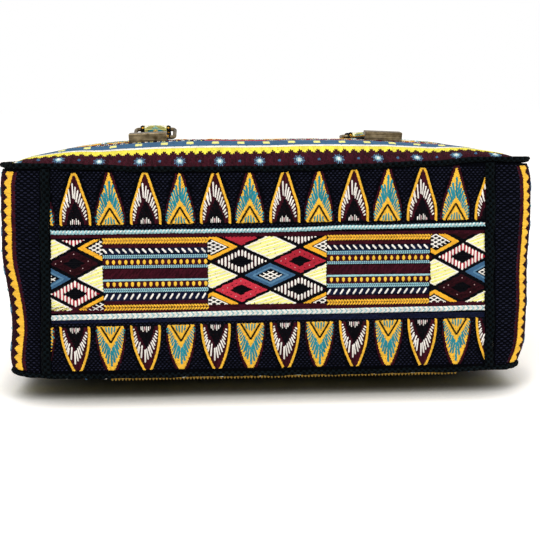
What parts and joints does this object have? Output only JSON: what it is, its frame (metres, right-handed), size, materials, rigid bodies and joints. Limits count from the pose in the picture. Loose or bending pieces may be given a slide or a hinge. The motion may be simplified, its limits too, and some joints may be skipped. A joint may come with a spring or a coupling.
{
  "type": "canvas shoulder bag",
  "caption": "Boxy canvas shoulder bag with an open mouth and strap handles on metal rings, lying on its back panel.",
  "frame": {"origin": "centre of the lowest plane of the bounding box, where the lying bag rests", "axes": "base panel faces -Y, open mouth faces +Y, width along X, front panel faces +Z"},
  "size_m": [0.372, 0.4188, 0.183],
  "materials": {
    "embroidered": "embroidered bands on navy canvas",
    "canvas": "navy basket weave",
    "seam_tape": "matt woven tape",
    "lining_cotton": "plain cotton",
    "board": "matt",
    "webbing": "embroidered strap",
    "bronze": "brushed, aged"
  },
  "bodies": {
    "bag": {"front_panel": "embroidered", "back_panel": "embroidered", "base_panel": "embroidered", "gusset_left": "canvas", "gusset_right": "canvas", "base_tape_left": "seam_tape", "base_tape_right": "seam_tape", "front_seam_tape": "seam_tape", "back_seam_tape": "seam_tape", "mouth_tape": "seam_tape", "lining": "lining_cotton", "base_board": "board", "inner_pocket": "lining_cotton", "anchor_strap_front_left": "webbing", "end_cap_front_left": "bronze", "anchor_strap_front_right": "webbing", "end_cap_front_right": "bronze", "anchor_strap_back_left": "webbing", "end_cap_back_left": "bronze", "anchor_strap_back_right": "webbing", "end_cap_back_right": "bronze"},
    "front_handle": {"handle_front": "webbing", "ring_front_left": "bronze", "ring_front_right": "bronze"},
    "back_handle": {"handle_back": "webbing", "ring_back_left": "bronze", "ring_back_right": "bronze"}
  },
  "joints": [
    {"name": "front_handle_swing", "type": "hinge", "parent": "bag", "child": "front_handle", "pos_m": [0, -0.059, 0.17363], "axis": [1, 0, 0], "range_deg": [0, 150]},
    {"name": "back_handle_swing", "type": "hinge", "parent": "bag", "child": "back_handle", "pos_m": [0, -0.059, 0.00325], "axis": [1, 0, 0], "range_deg": [-150, 0]}
  ]
}
